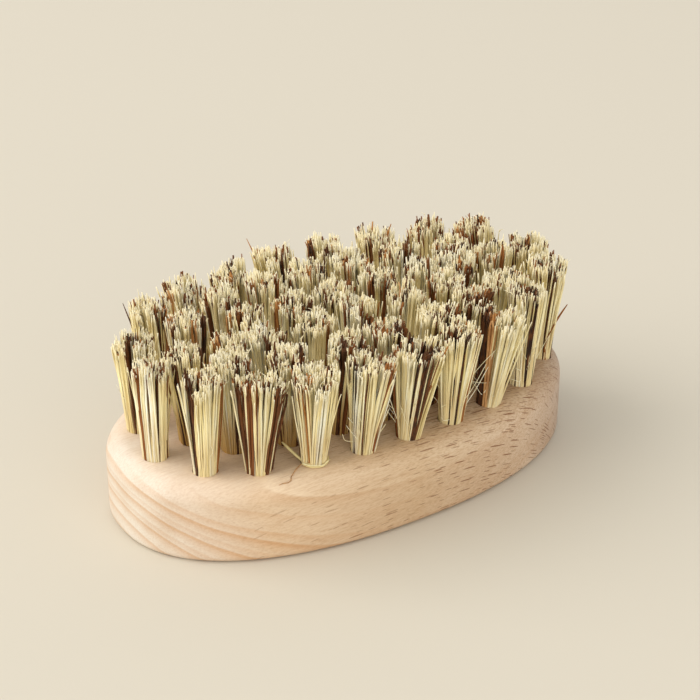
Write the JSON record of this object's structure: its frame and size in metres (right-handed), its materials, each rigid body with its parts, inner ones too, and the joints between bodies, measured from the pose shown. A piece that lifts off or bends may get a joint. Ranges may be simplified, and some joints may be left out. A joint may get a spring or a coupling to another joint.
{
  "type": "scrubbing brush",
  "caption": "Oval palm-held scrubbing brush: a flat-backed beech block with rings of stiff mixed plant-fibre tufts, for cleaning shellfish and vegetables.",
  "frame": {"origin": "middle of the flat back face, which lies on Z = 0", "axes": "+X along the block's length, +Y across it, +Z from the back to the tips of the tufts"},
  "size_m": [0.1209, 0.0676, 0.0452],
  "materials": {
    "beech": "sanded, unvarnished, with fine ray flecks",
    "union_fibre": "stiff matte plant fibre, mostly pale straw with some dark brown",
    "anchor_wire": "plain flat wire, hidden in the holes"
  },
  "bodies": {
    "root": {"block": "beech", "outer_tuft_01": "union_fibre", "outer_tuft_02": "union_fibre", "outer_tuft_03": "union_fibre", "outer_tuft_04": "union_fibre", "outer_tuft_05": "union_fibre", "outer_tuft_06": "union_fibre", "outer_tuft_07": "union_fibre", "outer_tuft_08": "union_fibre", "outer_tuft_09": "union_fibre", "outer_tuft_10": "union_fibre", "outer_tuft_11": "union_fibre", "outer_tuft_12": "union_fibre", "outer_tuft_13": "union_fibre", "outer_tuft_14": "union_fibre", "outer_tuft_15": "union_fibre", "outer_tuft_16": "union_fibre", "outer_tuft_17": "union_fibre", "outer_tuft_18": "union_fibre", "outer_tuft_19": "union_fibre", "outer_tuft_20": "union_fibre", "second_tuft_01": "union_fibre", "second_tuft_02": "union_fibre", "second_tuft_03": "union_fibre", "second_tuft_04": "union_fibre", "second_tuft_05": "union_fibre", "second_tuft_06": "union_fibre", "second_tuft_07": "union_fibre", "second_tuft_08": "union_fibre", "second_tuft_09": "union_fibre", "second_tuft_10": "union_fibre", "second_tuft_11": "union_fibre", "second_tuft_12": "union_fibre", "second_tuft_13": "union_fibre", "second_tuft_14": "union_fibre", "second_tuft_15": "union_fibre", "second_tuft_16": "union_fibre", "inner_tuft_01": "union_fibre", "inner_tuft_02": "union_fibre", "inner_tuft_03": "union_fibre", "inner_tuft_04": "union_fibre", "inner_tuft_05": "union_fibre", "inner_tuft_06": "union_fibre", "inner_tuft_07": "union_fibre", "inner_tuft_08": "union_fibre", "inner_tuft_09": "union_fibre", "inner_tuft_10": "union_fibre", "inner_tuft_11": "union_fibre", "inner_tuft_12": "union_fibre"}
  },
  "joints": []
}
